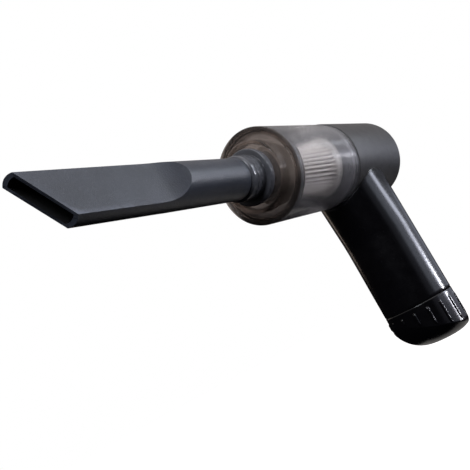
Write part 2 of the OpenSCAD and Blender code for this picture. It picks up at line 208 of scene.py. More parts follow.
def noise(tree, coord, size, detail=4.0, stretch=(1, 1, 1)):
    """Noise whose features are about size millimetres across."""
    mapping = tree.nodes.new("ShaderNodeMapping")
    mapping.inputs["Scale"].default_value = stretch
    tree.links.new(coord, mapping.inputs["Vector"])
    texture = tree.nodes.new("ShaderNodeTexNoise")
    texture.inputs["Scale"].default_value = 1 / (size * MM)
    texture.inputs["Detail"].default_value = detail
    tree.links.new(mapping.outputs["Vector"], texture.inputs["Vector"])
    return texture.outputs["Fac"]


def ramp(tree, fac, low_at, low, high_at, high):
    """A two-colour ramp."""
    node = tree.nodes.new("ShaderNodeValToRGB")
    ends = node.color_ramp.elements
    ends[0].position = low_at
    ends[0].color = (*low, 1)
    ends[1].position = high_at
    ends[1].color = (*high, 1)
    tree.links.new(fac, node.inputs["Fac"])
    return node.outputs["Color"]


def spread(tree, fac, low, high):
    """Maps the middle of a noise to the range from low to high."""
    node = tree.nodes.new("ShaderNodeMapRange")
    node.inputs["From Min"].default_value = NOISE_LOW
    node.inputs["From Max"].default_value = NOISE_HIGH
    node.inputs["To Min"].default_value = low
    node.inputs["To Max"].default_value = high
    tree.links.new(fac, node.inputs["Value"])
    return node.outputs["Result"]


def math_node(tree, operation, a, b):
    """A two-input maths node; each input is a socket or a number."""
    node = tree.nodes.new("ShaderNodeMath")
    node.operation = operation
    for socket, value in zip(node.inputs, (a, b)):
        if isinstance(value, (int, float)):
            socket.default_value = value
        else:
            tree.links.new(value, socket)
    return node.outputs["Value"]


def mixed(tree, fac, a, b):
    """Blends two colour sockets."""
    node = tree.nodes.new("ShaderNodeMix")
    node.data_type = "RGBA"
    tree.links.new(fac, node.inputs["Factor"])
    tree.links.new(a, node.inputs[6])
    tree.links.new(b, node.inputs[7])
    return node.outputs[2]


def darkened(tree, colour, shade, amount=1.0):
    """A colour socket multiplied by another."""
    node = tree.nodes.new("ShaderNodeMix")
    node.data_type = "RGBA"
    node.blend_type = "MULTIPLY"
    node.inputs["Factor"].default_value = amount
    tree.links.new(colour, node.inputs[6])
    tree.links.new(shade, node.inputs[7])
    return node.outputs[2]


def bumped(tree, shader, height, depth):
    """Feeds a height, depth millimetres deep, to the shader's normal."""
    node = tree.nodes.new("ShaderNodeBump")
    node.inputs["Distance"].default_value = depth * MM
    tree.links.new(height, node.inputs["Height"])
    tree.links.new(node.outputs["Normal"], shader.inputs["Normal"])


def moulded(name, dark, light, rough, grain, depth, wear=0.0, rough_span=0.05, metal=0.0,
            cloud=14.0, stretch=(1, 1, 1)):
    """Moulded plastic, rubber or metal: cloudy colour, uneven gloss, fine grain, rubbed edges."""
    mat, tree, shader, coord = new_finish(name)
    colour = ramp(tree, noise(tree, coord, cloud), CLOUD_LOW, dark, CLOUD_HIGH, light)
    if wear:
        geometry = tree.nodes.new("ShaderNodeNewGeometry")
        edge = spread(tree, geometry.outputs["Pointiness"], *WEAR_RANGE)
        edge = math_node(tree, "MULTIPLY", edge, noise(tree, coord, 1.6, 6))
        edge.node.use_clamp = True
        rubbed = [min(1, c * (1 + 3 * wear) + 0.05 * wear) for c in light]
        worn = ramp(tree, noise(tree, coord, 3), 0.2, rubbed, 0.8, rubbed)
        colour = mixed(tree, edge, colour, worn)
    tree.links.new(colour, shader.inputs["Base Color"])
    gloss = spread(tree, noise(tree, coord, 6, 5), rough - rough_span, rough + rough_span)
    tree.links.new(gloss, shader.inputs["Roughness"])
    shader.inputs["Metallic"].default_value = metal
    bumped(tree, shader, noise(tree, coord, grain, 3, stretch), depth)
    return mat


# Painted shade for the clear plastics: darkest below this height, fading out over the next 8 mm above
# it, with a ragged edge.
SHADE_LOW = (AXIS_Z - 18) * MM
SHADE_FADE = 8 * MM
SHADE_RAGGED = 1.5 * MM
CLEAR_IOR = 1.2


def smoked(name, low, high, absorb, density, haze, rough, painted_shade):
    """Clear smoked plastic with a little haze, fine scuffs, and painted shade that darkens its lower
    half.
    """
    mat, tree, shader, coord = new_finish(name)
    colour = ramp(tree, noise(tree, coord, 18), 0.3, low, 0.7, high)
    split = tree.nodes.new("ShaderNodeSeparateXYZ")
    tree.links.new(coord, split.inputs["Vector"])
    # painted shade: the base colour darkens towards the bottom, by height
    height = math_node(tree, "ADD", split.outputs["Z"], -SHADE_LOW)
    ragged = math_node(tree, "MULTIPLY", noise(tree, coord, 9), SHADE_RAGGED)
    height = math_node(tree, "ADD", height, ragged)
    lower_shade = math_node(tree, "DIVIDE", height, SHADE_FADE)
    lower_shade = ramp(tree, lower_shade, 0.0, (painted_shade, painted_shade, painted_shade * 1.02), 1.0, (1, 1, 1))
    tree.links.new(darkened(tree, colour, lower_shade), shader.inputs["Base Color"])
    shader.inputs["Transmission Weight"].default_value = 1 - haze
    shader.inputs["IOR"].default_value = CLEAR_IOR
    scuffs = noise(tree, coord, 2.2, 8, (0.25, 1, 1))
    gloss = spread(tree, scuffs, rough * 0.6, rough * 1.5)
    tree.links.new(gloss, shader.inputs["Roughness"])
    bumped(tree, shader, noise(tree, coord, 9, 2), 0.006)
    inside = tree.nodes.new("ShaderNodeVolumeAbsorption")
    inside.inputs["Color"].default_value = (*absorb, 1)
    inside.inputs["Density"].default_value = density
    output = next(n for n in tree.nodes if n.type == "OUTPUT_MATERIAL")
    tree.links.new(inside.outputs["Volume"], output.inputs["Volume"])
    return mat


def barrel_reach(tree, coord):
    """Distance from the barrel's axis, in metres."""
    flat = tree.nodes.new("ShaderNodeVectorMath")
    flat.operation = "MULTIPLY_ADD"
    flat.inputs[1].default_value = (0, 1, 1)
    flat.inputs[2].default_value = (0, 0, -AXIS_Z * MM)
    tree.links.new(coord, flat.inputs[0])
    length = tree.nodes.new("ShaderNodeVectorMath")
    length.operation = "LENGTH"
    tree.links.new(flat.outputs["Vector"], length.inputs[0])
    return length.outputs["Value"]


def pleated_paper():
    """Warm filter paper with fibres, and painted shade that darkens the valleys of its folds."""
    mat, tree, shader, coord = new_finish("filter_paper")
    base = ramp(tree, noise(tree, coord, 7), 0.3, (0.86, 0.80, 0.74), 0.7, (0.96, 0.92, 0.87))
    reach = barrel_reach(tree, coord)
    low = math_node(tree, "SUBTRACT", reach, PLEAT_IN * MM)
    fold = math_node(tree, "DIVIDE", low, (PLEAT_OUT - PLEAT_IN) * MM)
    # painted shade: darker towards the fold valleys, from the distance to the axis
    painted_shade = ramp(tree, fold, 0.15, (0.10, 0.075, 0.06), 0.85, (1, 1, 1))
    tree.links.new(darkened(tree, base, painted_shade, 0.9), shader.inputs["Base Color"])
    tree.links.new(spread(tree, noise(tree, coord, 1), 0.85, 0.97), shader.inputs["Roughness"])
    fibres = noise(tree, coord, 0.5, 6, (0.3, 1, 1))
    bumped(tree, shader, fibres, 0.08)
    shader.inputs["Specular IOR Level"].default_value = 0.2
    return mat


def circuit_board():
    """Green solder mask with lighter copper tracks."""
    mat, tree, shader, coord = new_finish("board_green")
    cells = tree.nodes.new("ShaderNodeTexVoronoi")
    cells.distance = "CHEBYCHEV"
    cells.feature = "DISTANCE_TO_EDGE"
    cells.inputs["Scale"].default_value = 380
    tree.links.new(coord, cells.inputs["Vector"])
    tracks = ramp(tree, cells.outputs["Distance"], 0.05, (0.04, 0.22, 0.10), 0.09,
                  (0.01, 0.09, 0.045))
    tree.links.new(tracks, shader.inputs["Base Color"])
    tree.links.new(spread(tree, noise(tree, coord, 2), 0.25, 0.4), shader.inputs["Roughness"])
    bumped(tree, shader, cells.outputs["Distance"], 0.05)
    return mat


def open_foam():
    """Black open-cell foam, with painted shade in its pores."""
    mat, tree, shader, coord = new_finish("foam")
    cells = tree.nodes.new("ShaderNodeTexVoronoi")
    cells.inputs["Scale"].default_value = 900
    tree.links.new(coord, cells.inputs["Vector"])
    # painted shade: darker in the pits of the cells
    pore_shade = ramp(tree, cells.outputs["Distance"], 0.1, (0.004, 0.004, 0.004), 0.6,
                 (0.05, 0.05, 0.052))
    tree.links.new(pore_shade, shader.inputs["Base Color"])
    tree.links.new(spread(tree, noise(tree, coord, 1), 0.85, 1.0), shader.inputs["Roughness"])
    bumped(tree, shader, cells.outputs["Distance"], 0.4)
    return mat


FINISH = {
    "nozzle_black": moulded("nozzle_black", (0.024, 0.027, 0.036), (0.032, 0.036, 0.048),
                            0.40, 0.8, 0.14, 0.5),
    # near-black painted shade for the inside of the nozzle's duct
    "nozzle_duct": moulded("nozzle_duct", (0.001, 0.001, 0.001), (0.002, 0.002, 0.002),
                           0.8, 0.8, 0.05),
    "neck_smoke": moulded("neck_smoke", (0.050, 0.051, 0.058), (0.068, 0.069, 0.077),
                          0.22, 0.8, 0.01, 0.5),
    # the last number sets how dark the painted shade in the lower half gets
    "cup_clear": smoked("cup_clear", (0.90, 0.89, 0.89), (0.96, 0.95, 0.95),
                        (0.50, 0.48, 0.50), 200, 0.06, 0.15, 0.60),
    "cover_clear": smoked("cover_clear", (0.29, 0.255, 0.235), (0.34, 0.30, 0.275),
                          (0.55, 0.46, 0.40), 150, 0.08, 0.12, 0.42),
    "seal_rubber": moulded("seal_rubber", (0.014, 0.014, 0.015), (0.022, 0.022, 0.023),
                           0.7, 0.5, 0.02),
    "filter_plastic": moulded("filter_plastic", (0.44, 0.42, 0.40), (0.53, 0.51, 0.48),
                              0.45, 0.6, 0.02, 0.2),
    "filter_paper": pleated_paper(),
    "bulkhead_black": moulded("bulkhead_black", (0.070, 0.068, 0.076), (0.100, 0.097, 0.107),
                              0.40, 0.6, 0.02, 0.3),
    "housing_grey": moulded("housing_grey", (0.032, 0.030, 0.030), (0.042, 0.039, 0.039),
                            0.46, 0.45, 0.03, 0.4),
    "fan_plastic": moulded("fan_plastic", (0.50, 0.50, 0.48), (0.60, 0.60, 0.58), 0.45, 0.6, 0.02),
    "impeller_alloy": moulded("impeller_alloy", (0.55, 0.56, 0.58), (0.66, 0.67, 0.69),
                              0.32, 0.2, 0.01, metal=1.0, stretch=(1, 1, 0.2)),
    "steel": moulded("steel", (0.52, 0.52, 0.54), (0.64, 0.64, 0.66), 0.28, 0.15, 0.01,
                     metal=1.0, stretch=(0.1, 1, 1)),
    "motor_alloy": moulded("motor_alloy", (0.38, 0.39, 0.41), (0.46, 0.47, 0.49), 0.36, 0.3,
                           0.01, metal=1.0),
    "foam": open_foam(),
    "handle_gloss": moulded("handle_gloss", (0.0014, 0.0013, 0.0020), (0.0022, 0.0020, 0.0030),
                            0.22, 0.7, 0.004, 0.15, 0.03),
    "button_black": moulded("button_black", (0.018, 0.018, 0.020), (0.026, 0.026, 0.029),
                            0.42, 0.4, 0.03, 0.5),
    "board_green": circuit_board(),
    "switch_plastic": moulded("switch_plastic", (0.02, 0.02, 0.02), (0.03, 0.03, 0.03), 0.5, 0.4,
                              0.02),
    "socket_steel": moulded("socket_steel", (0.54, 0.54, 0.55), (0.66, 0.66, 0.67), 0.3, 0.2,
                            0.01, metal=1.0),
    "lens_white": moulded("lens_white", (0.80, 0.81, 0.79), (0.88, 0.89, 0.87), 0.25, 0.8, 0.01),
    "cell_wrap": moulded("cell_wrap", (0.03, 0.14, 0.34), (0.05, 0.19, 0.44), 0.3, 1.2, 0.03,
                         cloud=8),
    "holder_plastic": moulded("holder_plastic", (0.58, 0.36, 0.07), (0.70, 0.44, 0.10), 0.45, 0.6,
                              0.02),
}


# ---- crevice nozzle ----

TUBE_FRONT_R = 13.1
TUBE_REAR_R = 12.7
SHOULDER = -23.8
SCOOP_END = -93.5
SCOOP_R = 28.0
BLADE_HALF = 5.2
SLOT_HALF = 3.5
WALL = 1.7
BORE_R = 9.8
MOUTH = -156.0
MOUTH_SLOPE = math.tan(math.radians(39))
SPIGOT_R = 11.45
TURN = math.radians(7)
RISE = math.radians(1.1)
SPIGOT_LOOPS = 7        # the inside's first loops, over the spigot and just into its bore
DUCT_NARROWS = -72.0
SLOT_BEGINS = -86.0
SLANT_BEGINS = -108.0
FLAT_STEPS = 10
ARC_STEPS = 48


def tube_radius(station):
    """The tube's outer radius, a little wider at the front."""
    t = min(1, max(0, (station - SCOOP_END) / (SHOULDER - SCOOP_END)))
    return TUBE_FRONT_R + (TUBE_REAR_R - TUBE_FRONT_R) * t


def blade_section(radius, half):
    """(side, up) points of a circle cut flat at both sides."""
    edge = math.acos(min(1, half / radius))
    high = radius * math.sin(edge)
    points = []
    for turn, sign in ((0, 1), (math.pi, -1)):
        for i in range(FLAT_STEPS + 1):
            points.append((sign * half, sign * high * (2 * i / FLAT_STEPS - 1)))
        for i in range(1, ARC_STEPS):
            angle = turn + edge + (math.pi - 2 * edge) * i / ARC_STEPS
            points.append((radius * math.cos(angle), radius * math.sin(angle)))
    return points


def nozzle_point(station, side, up):
    """A point of the outer nozzle, which is turned in the neck and rises a little forward."""
    ahead = station - SHOULDER
    turned_side = side * math.cos(TURN) + up * math.sin(TURN)
    turned_up = up * math.cos(TURN) - side * math.sin(TURN)
    along = ahead * math.cos(RISE) + turned_up * math.sin(RISE)
    high = turned_up * math.cos(RISE) - ahead * math.sin(RISE)
    return on_barrel(SHOULDER + along, turned_side, high)


def nozzle_loop(station, radius, half, slant=0.0):
    """One cross-section of the nozzle; slant shifts it forward with height."""
    section = blade_section(radius, half)
    place = nozzle_point if station < SHOULDER - 0.5 else on_barrel
    return [place(station - slant * MOUTH_SLOPE * up, side, up) for side, up in section]


def blade_slant(station):
    """How far a cross-section follows the slanted mouth."""
    return min(1, max(0, (SLANT_BEGINS - station) / (SLANT_BEGINS - MOUTH)))


def nozzle_outside():
    """From the mouth over the blade, scoops and tube to the shoulder."""
    loops = []
    for k in range(24):
        station = MOUTH + (SCOOP_END - MOUTH) * k / 24
        loops.append(nozzle_loop(station, TUBE_FRONT_R, BLADE_HALF, blade_slant(station)))
    first_edge = math.acos(BLADE_HALF / TUBE_FRONT_R)
    scoop_steps = 30
    station = SCOOP_END
    for k in range(scoop_steps + 1):
        edge = first_edge * (1 - k / scoop_steps)
        for _ in range(4):
            half = tube_radius(station) * math.cos(edge)
            run = SCOOP_R ** 2 - (BLADE_HALF + SCOOP_R - half) ** 2
            station = SCOOP_END + math.sqrt(max(0, run))
        loops.append(nozzle_loop(station, tube_radius(station), half))
    apex = station
    for k in range(1, 13):
        station = apex + (SHOULDER - 0.7 - apex) * k / 12
        loops.append(nozzle_loop(station, tube_radius(station), tube_radius(station)))
    return loops


def nozzle_inside():
    """From the shoulder over the spigot's end and back to the mouth."""
    loops = []
    shoulder = [(SHOULDER - 0.25, TUBE_REAR_R - 0.12), (SHOULDER, TUBE_REAR_R - 0.5),
                (SHOULDER, SPIGOT_R), (-12.0, SPIGOT_R), (-11.0, SPIGOT_R - 0.8), (-11.0, BORE_R),
                (-25.0, BORE_R), (-45.0, BORE_R), (DUCT_NARROWS, BORE_R)]
    for station, radius in shoulder:
        loops.append(nozzle_loop(station, radius, radius))
    for k in range(1, 9):
        t = k / 8
        radius = BORE_R + (TUBE_FRONT_R - WALL - BORE_R) * t
        half = BORE_R + (SLOT_HALF - BORE_R) * t
        station = DUCT_NARROWS + (SLOT_BEGINS - DUCT_NARROWS) * t
        loops.append(nozzle_loop(station, radius, half))
    for k in range(1, 17):
        station = SLOT_BEGINS + (MOUTH - SLOT_BEGINS) * k / 16
        loops.append(nozzle_loop(station, TUBE_FRONT_R - WALL, SLOT_HALF, blade_slant(station)))
    return loops


def crevice_nozzle():
    """The nozzle, with near-black painted shade on the inside of its duct."""
    bm = bmesh.new()
    outside = nozzle_outside()
    rings = add_loops(bm, outside + nozzle_inside(), True)
    # faces deep inside the duct get the painted shade
    duct = {v for ring in rings[len(outside) + SPIGOT_LOOPS:] for v in ring}
    for face in bm.faces:
        face.material_index = int(duct.issuperset(face.verts))
    piece = piece_from(bm, "crevice_nozzle_skin", FINISH["nozzle_black"], "nozzle",
                       ["crevice_nozzle"], 24)
    piece.data.materials.append(FINISH["nozzle_duct"])
    bevel(piece, 0.38, 3, 24)


# ---- cover, neck and cup ----

def inlet_neck():
    """The neck that the nozzle plugs into, with its rounded lip and collar."""
    corners = [(-23.5, 11.5, 0.5), (-23.5, 14.0, 1.9), (-18.6, 14.0, 0.15), (-18.3, 13.7, 0.1),
               (-18.0, 14.0, 0.15), (-14.8, 14.0, 0.15), (-14.5, 13.7, 0.1), (-14.2, 14.0, 0.15),
               (-10.6, 14.0, 0.5), (-10.6, 17.6, 0.9), (-6.65, 17.6, 0.3), (-6.65, 16.4, 0),
               (4.0, 16.4, 0.5), (4.0, 13.6, 0.5), (-9.2, 13.6, 0.3), (-9.2, 10.2, 0.3),
               (-10.4, 10.2, 0.3), (-10.4, 11.5, 0.3)]
    lathe("inlet_neck_skin", corners, FINISH["neck_smoke"], "cover",
          ["inlet_neck"])


def front_cover():
    """The clear cover in front of the cup."""
    corners = [(-6.6, 16.46, 0.2), (-6.6, 22.8, 1.6), (0.0, 22.8, 0.9), (0.0, 28.6, 0.4),
               (-0.6, 28.9, 0.3), (-0.6, 30.8, 0.8), (1.4, 30.8, 0.4), (1.4, 28.52, 0.2),
               (5.0, 28.52, 0.2), (5.0, 27.6, 0.1), (7.0, 27.6, 0.1), (7.0, 28.52, 0.2),
               (9.0, 28.52, 0.5), (9.0, 26.52, 0.5), (2.0, 26.52, 0.6), (2.0, 20.6, 0.4),
               (-4.4, 20.6, 0.8), (-4.4, 16.46, 0.2)]
    piece = lathe("front_cover_skin", corners, FINISH["cover_clear"], "cover",
                  ["front_cover"])
    piece.visible_shadow = False


def dust_cup():
    """The clear cup that the filter shows through."""
    corners = [(1.7, 28.6, 0.3), (1.7, 30.8, 0.4), (81.2, 30.8, 0.6), (81.2, 28.6, 0.3)]
    piece = lathe("dust_cup_skin", corners, FINISH["cup_clear"], "cup",
                  ["dust_cup"], OUTER_SEGMENTS)
    piece.visible_shadow = False


# ---- filter ----

def pleat_radius(turn, station, wobble):
    """The folded paper's radius: rounded tips, tight valleys and slightly uneven folds."""
    phase = turn * PLEATS / (2 * math.pi)
    fold = int(phase) % PLEATS
    lean, height = wobble[fold]
    along = (station - PAPER_FRONT) / (PAPER_BACK - PAPER_FRONT)
    t = phase - int(phase) + lean * math.sin(math.pi * along)
    wave = 0.5 - 0.5 * math.cos(2 * math.pi * t)
    wave = wave ** 0.8
    return PLEAT_IN + (PLEAT_OUT - PLEAT_IN) * wave * (1 - height * math.sin(math.pi * along))


def filter_media():
    """The folded paper, with small seeded differences between its pleats."""
    rng = random.Random(7)
    wobble = [(rng.uniform(-0.05, 0.05), rng.uniform(0.0, 0.05)) for _ in range(PLEATS)]
    per_fold = 12
    rows = 20
    count = PLEATS * per_fold
    loops = []
    for row in range(rows + 1):
        station = PAPER_FRONT + (PAPER_BACK - PAPER_FRONT) * row / rows
        loop = []
        for k in range(count):
            turn = 2 * math.pi * k / count
            r = pleat_radius(turn, station, wobble)
            loop.append(on_barrel(station, r * math.sin(turn), r * math.cos(turn)))
        loops.append(loop)
    for station in (PAPER_BACK, PAPER_FRONT):
        turns = [2 * math.pi * k / count for k in range(count)]
        loop = [on_barrel(station, PAPER_CORE * math.sin(t), PAPER_CORE * math.cos(t)) for t in turns]
        loops.append(loop)
    bm = bmesh.new()
    add_loops(bm, loops, True)
    piece_from(bm, "filter_paper_folds", FINISH["filter_paper"], "filter",
               ["filter_media"], 60)


def filter_ends():
    """The filter's front cap and rear ring."""
    front = [(18.7, 0, 0), (18.7, 7.7, 0.4), (17.5, 8.3, 0.4), (17.5, 20.6, 1.2),
             (21.5, 20.6, 0.4), (21.5, 0, 0)]
    lathe("filter_cap_skin", front, FINISH["filter_plastic"], "filter",
          ["filter_front_cap"])
    back = [(66.0, 15.6, 0.2), (66.0, 21.4, 0.8), (68.0, 21.4, 0.15), (68.3, 21.0, 0.15),
            (68.6, 21.4, 0.15), (71.0, 21.4, 0.8), (71.0, 15.6, 0.2)]
    lathe("filter_ring_skin", back, FINISH["filter_plastic"], "filter",
          ["filter_rear_ring"])


# ---- bulkhead and housing ----

def add_bar(bm, station_a, station_b, half_width, half_length, turn):
    """A flat bar across the barrel, for the bulkhead's spokes."""
    sides = []
    for station in (station_a, station_b):
        loop = []
        for u, v in ((-1, -1), (1, -1), (1, 1), (-1, 1)):
            across = u * half_width
            along = v * half_length
            side = across * math.cos(turn) - along * math.sin(turn)
            up = across * math.sin(turn) + along * math.cos(turn)
            loop.append(on_barrel(station, side, up))
        sides.append([bm.verts.new(p) for p in loop])
    low, high = sides
    bm.faces.new(low)
    bm.faces.new(high)
    for i in range(4):
        j = (i + 1) % 4
        bm.faces.new((low[i], low[j], high[j], high[i]))


def bulkhead():
    """The bulkhead whose spigot closes the cup's rear end."""
    corners = [(66.3, 13.5, 0.2), (66.3, 15.5, 0.4), (73.0, 15.5, 0.4), (73.0, 28.52, 0.9),
               (77.0, 28.52, 0.1), (77.0, 27.5, 0.1), (79.0, 27.5, 0.1), (79.0, 28.52, 0.1),
               (90.0, 28.52, 0.5), (90.0, 26.4, 0.5), (75.5, 26.4, 0.5), (75.5, 13.5, 0.4)]
    bm = bmesh.new()
    add_lathe(bm, rounded(corners), BARREL_SEGMENTS)
    for k in range(3):
        add_bar(bm, 73.1, 75.4, 0.9, 13.9, math.pi * k / 3)
    add_lathe(bm, rounded([(73.0, 0, 0), (73.0, 4.0, 0.4), (75.5, 4.0, 0.4), (75.5, 0, 0)]), 48)
    piece = piece_from(bm, "bulkhead_skin", FINISH["bulkhead_black"], "root",
                       ["bulkhead"])
    bevel(piece, 0.2, 2, 60)


def motor_housing():
    """The shell behind the cup."""
    corners = [(81.5, 28.6, 0.3), (81.5, 31.2, 0.5), (156.0, 31.2, 2.4), (156.0, 28.9, 0.3),
               (155.6, 28.5, 0.2), (155.6, 26.6, 0.3), (153.4, 26.6, 0.2), (153.4, 28.6, 0.3)]
    lathe("motor_housing_skin", corners, FINISH["housing_grey"], "root",
          ["motor_housing"], OUTER_SEGMENTS)


# ---- handle ----

FLARE = math.radians(7)
FLARE_R = 25.65
FLARE_PIVOT = -64.0 + AXIS_Z
CUP_CLEAR_R = 31.4
CUP_END_X = RIM_X + 81.9
FLARE_FADE = 8.0
TOP_ROUND = 0.9
SEAM_EDGE = 0.45
SEAM_CORNER = 0.13


def handle_reach(angle, z):
    """The handle's outer radius at an angle and height, with the forward blend."""
    if math.cos(angle) >= 0 or z < FLARE_PIVOT - FLARE_FADE:
        return HANDLE_R
    centre = -(z - FLARE_PIVOT) * math.tan(FLARE)
    k = math.cos(FLARE) ** 2
    c = math.cos(angle)
    s = math.sin(angle)
    qa = k * c * c + s * s
    qb = -2 * k * c * centre
    qc = k * centre * centre - FLARE_R ** 2
    lean = (-qb + math.sqrt(max(0, qb * qb - 4 * qa * qc))) / (2 * qa)
    blend = 0.35
    gap = lean - HANDLE_R
    return HANDLE_R + (gap + math.sqrt(gap * gap + blend * blend)) / 2 - blend * 0.02


def barrel_skirt(x, y):
    """Height of the barrel's underside over a point, with room for the cup in front."""
    t = min(1, max(0, (CUP_END_X - x) / 0.8 + 1))
    radius = HOUSING_R + (CUP_CLEAR_R - HOUSING_R) * t
    return AXIS_Z - math.sqrt(radius * radius - y * y)


def handle_top(angle):
    """Height of the handle's upper edge at an angle."""
    z = AXIS_Z - HOUSING_R
    for _ in range(6):
        r = handle_reach(angle, z)
        z = barrel_skirt(r * math.cos(angle), r * math.sin(angle))
    return z


def handle_column(angle):
    """One upright line of the handle: seam, outside, rounded top edge and bore."""
    c = math.cos(angle)
    s = math.sin(angle)
    low = SEAM_Z + SEAM_EDGE
    line = [(HANDLE_BORE, SEAM_Z), (HANDLE_R - SEAM_EDGE, SEAM_Z),
            (HANDLE_R - SEAM_CORNER, SEAM_Z + SEAM_CORNER), (HANDLE_R, low)]
    rows = 46
    high = handle_top(angle) - TOP_ROUND
    for k in range(1, rows + 1):
        z = low + (high - low) * k / rows
        line.append((handle_reach(angle, z), z))
    for k in range(1, 7):
        a = math.pi / 2 * k / 6
        z = high + TOP_ROUND * math.sin(a)
        line.append((handle_reach(angle, z) - TOP_ROUND * (1 - math.cos(a)), z))
    inner_top = barrel_skirt(HANDLE_BORE * c, HANDLE_BORE * s)
    line.append((HANDLE_BORE, inner_top - 0.05))
    line.append((HANDLE_BORE, (inner_top + SEAM_Z) / 2))
    return [Vector((r * c * MM, r * s * MM, z * MM)) for r, z in line]


def stadium(radius, half):
    """(side, up) points of an upright bar with round ends."""
    count = 24
    points = []
    for middle, start in ((half, 0.0), (-half, math.pi)):
        for k in range(count + 1):
            a = start + math.pi * k / count
            points.append((radius * math.cos(a), middle + radius * math.sin(a)))
    return points


def add_prism(bm, outline, x0, x1, centre_z):
    """A straight bar along X with the given (side, up) outline, as a hole cutter."""
    low = [bm.verts.new((x0 * MM, y * MM, (z + centre_z) * MM)) for y, z in outline]
    high = [bm.verts.new((x1 * MM, y * MM, (z + centre_z) * MM)) for y, z in outline]
    bm.faces.new(low)
    bm.faces.new(high)
    for i in range(len(low)):
        j = (i + 1) % len(low)
        bm.faces.new((low[i], low[j], high[j], high[i]))


BUTTON_Z = 17.0
BUTTON_R = 6.7
BUTTON_HALF = 5.0
PORT_Z = 45.1
PORT_HALF_H = 1.6
PORT_FLAT = 2.9
LENS_Z = 34.0
LENS_R = 1.5
HOLE_FROM = 18
HOLE_TO = 32


def cut_holes(piece):
    """Cuts the button, socket and light openings through the back of the handle."""
    bm = bmesh.new()
    add_prism(bm, stadium(BUTTON_R + 0.3, BUTTON_HALF), HOLE_FROM, HOLE_TO, BUTTON_Z)
    port = [(z, y) for y, z in stadium(PORT_HALF_H + 0.3, PORT_FLAT)]
    add_prism(bm, port, HOLE_FROM, HOLE_TO, PORT_Z)
    add_prism(bm, stadium(LENS_R + 0.08, 0.0), HOLE_FROM, HOLE_TO, LENS_Z)
    cleaned(bm)
    cutter = object_from(bm, "hole_cutter")
    mod = piece.modifiers.new("holes", "BOOLEAN")
    mod.operation = "DIFFERENCE"
    mod.solver = "EXACT"
    mod.object = cutter
    graph = bpy.context.evaluated_depsgraph_get()
    cut = bpy.data.meshes.new_from_object(piece.evaluated_get(graph))
    piece.modifiers.clear()
    piece.data = cut
    bpy.data.objects.remove(cutter)


def handle_shell():
    """The round handle, with its openings cut and its upper edge rounded."""
    bm = bmesh.new()
    count = 176
    columns = [handle_column(2 * math.pi * k / count) for k in range(count)]
    add_loops(bm, columns, True)
    piece = piece_from(bm, "handle_shell_skin", FINISH["handle_gloss"], "root",
                       ["handle_shell"])
    cut_holes(piece)
    piece.data.set_sharp_from_angle(angle=math.radians(38))


def power_button():
    """A crowned key with a rounded rim and a flange behind the wall."""
    bm = bmesh.new()
    loops = []
    for x, grow in ((20.5, 1.4), (21.8, 1.4), (21.8, 0.0)):
        loops.append([Vector((x * MM, y * MM, (z + BUTTON_Z) * MM))
                      for y, z in stadium(BUTTON_R + grow, BUTTON_HALF)])
    face_r = HANDLE_R + 1.1
    steps = [(0.0, 0.9), (0.06, 0.55), (0.22, 0.26), (0.5, 0.08), (0.9, 0.0), (2.0, -0.02),
             (3.5, 0.12), (5.0, 0.22), (BUTTON_R - 0.02, 0.25)]
    for inset, drop in steps:
        loop = []
        for y, z in stadium(BUTTON_R - inset, BUTTON_HALF):
            x = math.sqrt(face_r ** 2 - y * y) - drop
            loop.append(Vector((x * MM, y * MM, (z + BUTTON_Z) * MM)))
        loops.append(loop)
    rings = add_loops(bm, loops, False)
    bm.faces.new(rings[0])
    half = len(rings[-1])
    for i in range(half // 2 - 1):
        quad = [rings[-1][i], rings[-1][i + 1], rings[-1][half - 2 - i], rings[-1][half - 1 - i]]
        bm.faces.new(quad)
    piece_from(bm, "power_button_skin", FINISH["button_black"], "button",
               ["power_button"])


# ---- end cap ----

CAP_TOP = SEAM_Z - 0.2
SWEEP_ROUND = 24.0
SWEEP_SHIFT = 6.5
SWEEP_TURN = math.radians(30)
BACK_ROUND = 7.8
CAP_FLOOR = CAP_FOOT + 13
CAP_BORE_R = 21.4
SKIRT_TOP = SEAM_Z + 8
SKIRT_R = HANDLE_BORE - 0.1
CAP_EDGE = 0.6
CAP_CORNER = 0.18
RIBS = 16
RIB_OUT = 0.7
RIB_TOP = CAP_TOP - 4.3
RIB_FOOT = CAP_FOOT + 6
RIB_FLAT = 0.55
RIB_FLANK = 0.45
RIB_OFFSETS = (0.0, 0.35, 0.62, 0.78, 0.92, 1.1, 1.5, 2.2, 3.2, 4.2)


def cap_floor(reach, angle):
    """Height of the cap's underside at a distance and angle from the handle's axis."""
    over = max(0, reach - (HANDLE_R - BACK_ROUND))
    round_low = CAP_FOOT + BACK_ROUND - math.sqrt(max(0, BACK_ROUND ** 2 - over ** 2))
    across = reach * math.sin(angle) + SWEEP_SHIFT * math.sin(SWEEP_TURN)
    wide = math.hypot(reach * math.cos(angle) - SWEEP_SHIFT * math.cos(SWEEP_TURN), across)
    over = max(0, wide - (HANDLE_R + SWEEP_SHIFT - SWEEP_ROUND))
    front_low = CAP_FOOT + SWEEP_ROUND - math.sqrt(max(0, SWEEP_ROUND ** 2 - over ** 2))
    gap = round_low - front_low
    blend = 0.5
    return (round_low + front_low + math.sqrt(gap * gap + blend * blend)) / 2 - blend / 2


def rib_height(offset, z, low):
    """How far a grip rib stands out, from the distance to its middle and the height."""
    flank = 1 - min(1, max(0, (abs(offset) - RIB_FLAT) / RIB_FLANK))
    flank = flank * flank * (3 - 2 * flank)
    foot = max(RIB_FOOT, low + 1.5)
    ends = min(1, max(0, (RIB_TOP - z) / 0.9)) * min(1, max(0, (z - foot) / 1.2))
    return RIB_OUT * flank * math.sin(ends * math.pi / 2)


